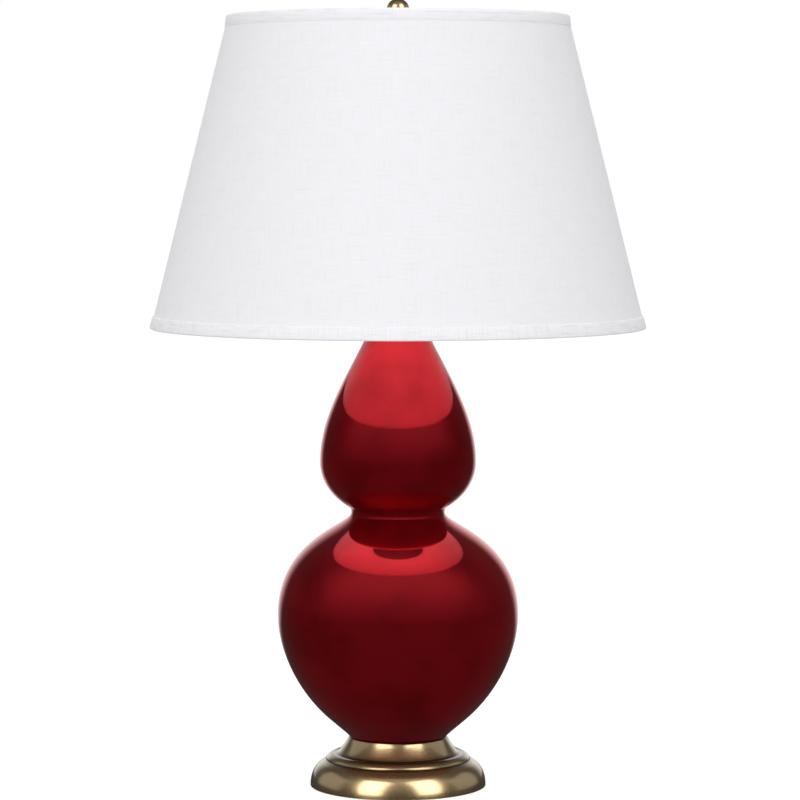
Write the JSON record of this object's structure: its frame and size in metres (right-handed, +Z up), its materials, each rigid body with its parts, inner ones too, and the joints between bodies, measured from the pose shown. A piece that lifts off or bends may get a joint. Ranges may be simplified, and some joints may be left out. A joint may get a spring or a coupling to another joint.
{
  "type": "table lamp",
  "caption": "Table lamp with a glazed double gourd body on a spun brass foot and a tapered fabric shade on a harp.",
  "frame": {"origin": "middle of the felt's underside, on the surface the lamp stands on", "axes": "+Z up along the lamp's axis, -Y the front with the switch knob, +Y the rear with the cord inlet, +X to the right seen from the front"},
  "size_m": [0.4953, 0.4954, 0.7884],
  "materials": {
    "ruby_glaze": "deep red gloss glaze on thrown ceramic",
    "antique_brass": "satin antique brass, lacquered",
    "plated_hardware": "antique brass plating on steel",
    "socket_brass": "spun brass, lightly aged",
    "contact_brass": "bright brass",
    "zinc_steel": "zinc plated steel",
    "shade_cloth": "white hardback shade fabric, plain weave",
    "shade_tape": "white folded cotton tape",
    "shade_styrene": "white styrene sheet",
    "ring_paint": "white powder coat on steel wire",
    "felt": "dark brown wool felt",
    "hardboard": "pressed hardboard",
    "liner_card": "vulcanised fibre card",
    "nylon": "black moulded nylon",
    "gasket_rubber": "soft black rubber",
    "phenolic": "black moulded phenolic",
    "cap_aluminium": "formed aluminium",
    "frosted_glass": "inside-frosted glass",
    "clear_glass": "clear glass",
    "black_glass": "black moulded glass",
    "solder": "tinned solder",
    "tungsten": "drawn tungsten and lead wire"
  },
  "bodies": {
    "lamp": {"felt_pad": "felt", "bottom_board": "hardboard", "foot_skirt": "antique_brass", "foot_cup": "antique_brass", "cord_bushing": "nylon", "clamp_washer": "zinc_steel", "lock_washer": "zinc_steel", "lower_nut": "zinc_steel", "threaded_pipe": "zinc_steel", "seat_gasket": "gasket_rubber", "gourd_bowl": "ruby_glaze", "gourd_shoulder": "ruby_glaze", "gourd_upper": "ruby_glaze", "vase_cap": "antique_brass", "neck_tube": "antique_brass", "check_ring": "antique_brass", "harp_saddle": "plated_hardware", "socket_cap": "socket_brass", "socket_set_screw": "zinc_steel", "socket_shell": "socket_brass", "socket_insulator": "liner_card", "switch_block": "phenolic", "terminal_screws": "contact_brass", "screw_shell": "cap_aluminium", "centre_contact": "contact_brass", "ring_contact": "contact_brass"},
    "switch_knob": {"switch_shaft": "contact_brass", "switch_knob": "phenolic"},
    "harp": {"harp_wire": "plated_hardware"},
    "ferrule_left": {"ferrule_left": "plated_hardware"},
    "ferrule_right": {"ferrule_right": "plated_hardware"},
    "harp_stud": {"harp_stud": "plated_hardware"},
    "shade": {"shade_fabric": "shade_cloth", "shade_liner": "shade_styrene", "top_ring": "ring_paint", "bottom_ring": "ring_paint", "top_trim": "shade_tape", "bottom_trim": "shade_tape", "spider": "plated_hardware"},
    "finial": {"finial": "antique_brass"},
    "bulb": {"bulb_glass": "frosted_glass", "bulb_cap": "cap_aluminium", "bulb_insulator": "black_glass", "bulb_tip": "solder", "bulb_ring_contact": "contact_brass", "bulb_stem": "clear_glass", "bulb_filament": "tungsten"}
  },
  "joints": [
    {"name": "knob_turn", "type": "hinge", "parent": "lamp", "child": "switch_knob", "pos_m": [0, -0.02, 0.5299], "axis": [0, -1, 0], "continuous": true},
    {"name": "harp_lift", "type": "slide", "parent": "lamp", "child": "harp", "axis": [0, 0, 1], "range_m": [0, 0.04]},
    {"name": "ferrule_left_slide", "type": "slide", "parent": "harp", "child": "ferrule_left", "axis": [0, 0, 1], "range_m": [0, 0.014]},
    {"name": "ferrule_right_slide", "type": "slide", "parent": "harp", "child": "ferrule_right", "axis": [0, 0, 1], "range_m": [0, 0.014]},
    {"name": "stud_turn", "type": "hinge", "parent": "harp", "child": "harp_stud", "pos_m": [0, 0, 0.7518], "axis": [0, 0, 1], "continuous": true},
    {"name": "shade_lift", "type": "slide", "parent": "harp_stud", "child": "shade", "axis": [0, 0, 1], "range_m": [0, 0.32]},
    {"name": "finial_lift", "type": "slide", "parent": "shade", "child": "finial", "axis": [0, 0, 1], "range_m": [0, 0.025]},
    {"name": "bulb_lift", "type": "slide", "parent": "lamp", "child": "bulb", "axis": [0, 0, 1], "range_m": [0, 0.03]}
  ]
}
